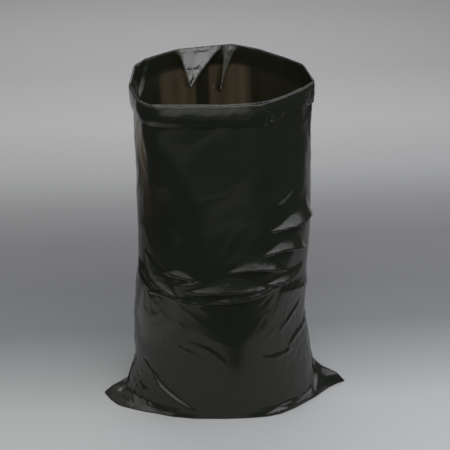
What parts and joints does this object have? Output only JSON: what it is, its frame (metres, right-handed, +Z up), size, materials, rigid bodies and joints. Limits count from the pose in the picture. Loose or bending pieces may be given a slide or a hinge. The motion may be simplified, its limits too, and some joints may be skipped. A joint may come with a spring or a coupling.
{
  "type": "garden waste bag",
  "caption": "Open-topped film sack for garden waste, with a flat sealed bottom, two pointed bottom corners and a mouth turned out into a cuff.",
  "frame": {"origin": "on the floor, above the middle of the sealed bottom seam", "axes": "+Z up to the mouth, X along the bottom seam from corner to corner, -Y the front, where the rim is lowest"},
  "size_m": [0.665, 0.4227, 0.9204],
  "materials": {
    "black film": "glossy black polyethylene film with a faint brown glow where light comes through one layer"
  },
  "bodies": {
    "root": {"film_sack": "black film"}
  },
  "joints": []
}
